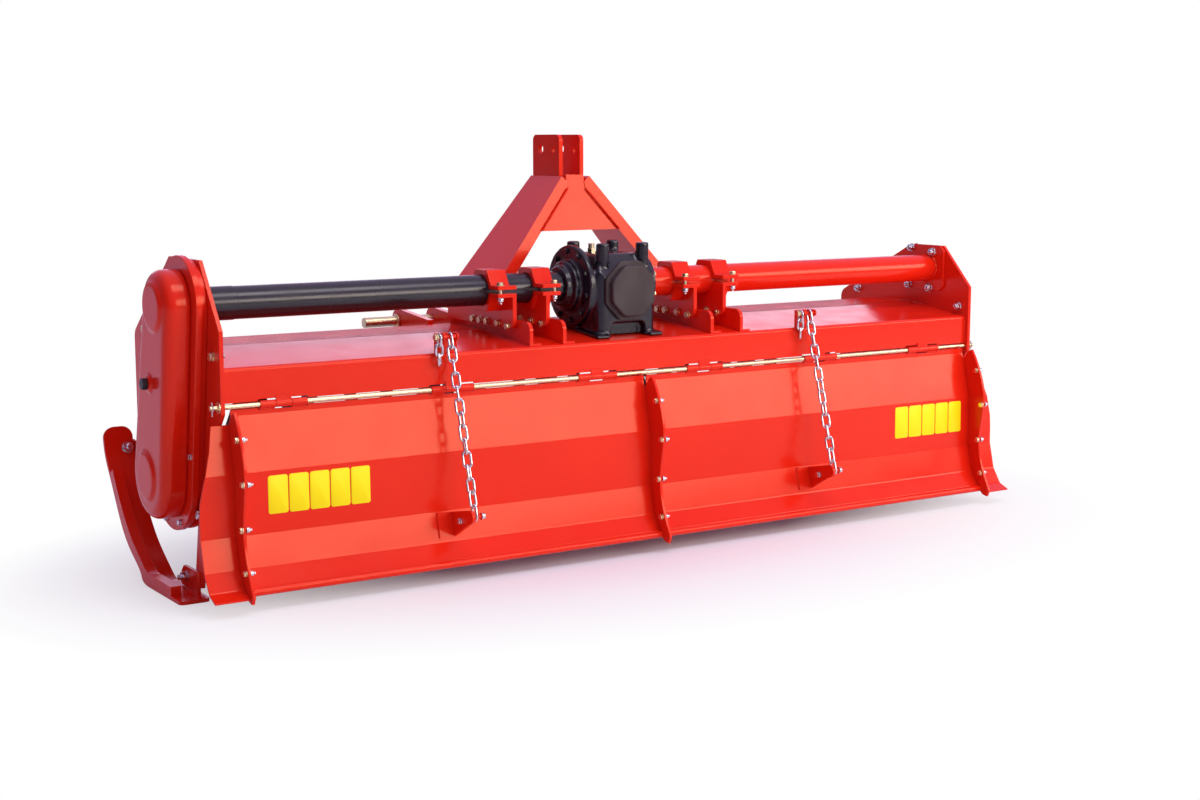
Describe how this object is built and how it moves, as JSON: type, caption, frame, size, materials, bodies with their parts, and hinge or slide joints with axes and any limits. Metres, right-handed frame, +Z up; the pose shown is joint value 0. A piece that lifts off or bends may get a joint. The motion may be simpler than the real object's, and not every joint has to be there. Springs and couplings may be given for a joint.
{
  "type": "rotary tiller",
  "caption": "Tractor-mounted rotary tiller: folded hood, centre gearbox under an A mast, side gear case, tined rotor, skids, and a hinged rear board held by chains.",
  "frame": {"origin": "middle of the footprint, on the floor under the skids' soles", "axes": "+X along the machine, to the right seen from behind; +Y forward, towards the tractor; +Z up"},
  "size_m": [2.511, 0.785, 1.073],
  "materials": {
    "red_paint": "gloss",
    "black_paint": "gloss",
    "tine_paint": "satin",
    "bright_zinc": "zinc plated",
    "yellow_zinc": "yellow zinc plated",
    "bare_steel": "machined",
    "black_plastic": "moulded"
  },
  "bodies": {
    "frame": {"hood": "red_paint", "front_beam": "red_paint", "side_plate_left": "red_paint", "side_plate_right": "red_paint", "axle_tube_right": "red_paint", "tube_end_plate": "red_paint", "gear_case_flange": "red_paint", "gear_case_cover": "red_paint", "clamp_straps": "red_paint", "clamp_plates": "red_paint", "deck_rails": "red_paint", "mast_strut_left": "red_paint", "mast_strut_right": "red_paint", "mast_gusset": "red_paint", "mast_ears": "red_paint", "hitch_ears": "red_paint", "band_knuckles": "red_paint", "chain_hooks": "red_paint", "skid_left": "red_paint", "skid_right": "red_paint", "skid_straps": "red_paint", "rotor_bearing_right": "red_paint", "rotor_bearing_left": "red_paint", "axle_tube_left": "black_paint", "axle_tube_collar": "black_paint", "gearbox": "black_paint", "gearbox_left_flange": "black_paint", "gearbox_right_flange": "black_paint", "gearbox_rear_cover": "black_paint", "gearbox_front_cap": "black_paint", "breather": "black_paint", "link_pin_left": "yellow_zinc", "link_pin_right": "yellow_zinc", "hinge_rod": "yellow_zinc", "oil_plug": "black_plastic"},
    "rotor": {"rotor_shaft": "red_paint", "tine_discs": "tine_paint"},
    "pto_input": {"input_shaft": "bare_steel"},
    "rear_board": {"board_panel_left": "red_paint", "board_panel_right": "red_paint", "board_wing_left": "red_paint", "board_wing_right": "red_paint", "board_ribs": "red_paint", "board_knuckles": "red_paint", "chain_brackets": "red_paint"},
    "left_chain_upper": {"chain_upper_left": "bright_zinc"},
    "left_chain_lower": {"chain_lower_left": "bright_zinc"},
    "right_chain_upper": {"chain_upper_right": "bright_zinc"},
    "right_chain_lower": {"chain_lower_right": "bright_zinc"}
  },
  "joints": [
    {"name": "rotor_spin", "type": "hinge", "parent": "frame", "child": "rotor", "pos_m": [0, -0.015, 0.277], "axis": [1, 0, 0], "continuous": true},
    {"name": "pto_spin", "type": "hinge", "parent": "frame", "child": "pto_input", "pos_m": [0, 0.107, 0.672], "axis": [0, 1, 0], "continuous": true},
    {"name": "board_lift", "type": "hinge", "parent": "frame", "child": "rear_board", "pos_m": [0, -0.251, 0.46], "axis": [-1, 0, 0], "range_deg": [0, 40]},
    {"name": "left_chain_top", "type": "hinge", "parent": "frame", "child": "left_chain_upper", "pos_m": [-0.56, -0.263, 0.588], "axis": [-1, 0, 0], "range_deg": [0, 58.5]},
    {"name": "left_chain_foot", "type": "hinge", "parent": "rear_board", "child": "left_chain_lower", "pos_m": [-0.56, -0.379, 0.165], "axis": [-1, 0, 0], "range_deg": [-37.5, 0]},
    {"name": "right_chain_top", "type": "hinge", "parent": "frame", "child": "right_chain_upper", "pos_m": [0.56, -0.263, 0.588], "axis": [-1, 0, 0], "range_deg": [0, 58.5]},
    {"name": "right_chain_foot", "type": "hinge", "parent": "rear_board", "child": "right_chain_lower", "pos_m": [0.56, -0.379, 0.165], "axis": [-1, 0, 0], "range_deg": [-37.5, 0]}
  ],
  "couplings": [
    {"joint": "pto_spin", "follows": "rotor_spin", "ratio": 2.35},
    {"joint": "left_chain_top", "follows": "board_lift", "ratio": 1.46},
    {"joint": "left_chain_foot", "follows": "board_lift", "ratio": -0.93},
    {"joint": "right_chain_top", "follows": "board_lift", "ratio": 1.46},
    {"joint": "right_chain_foot", "follows": "board_lift", "ratio": -0.93}
  ]
}
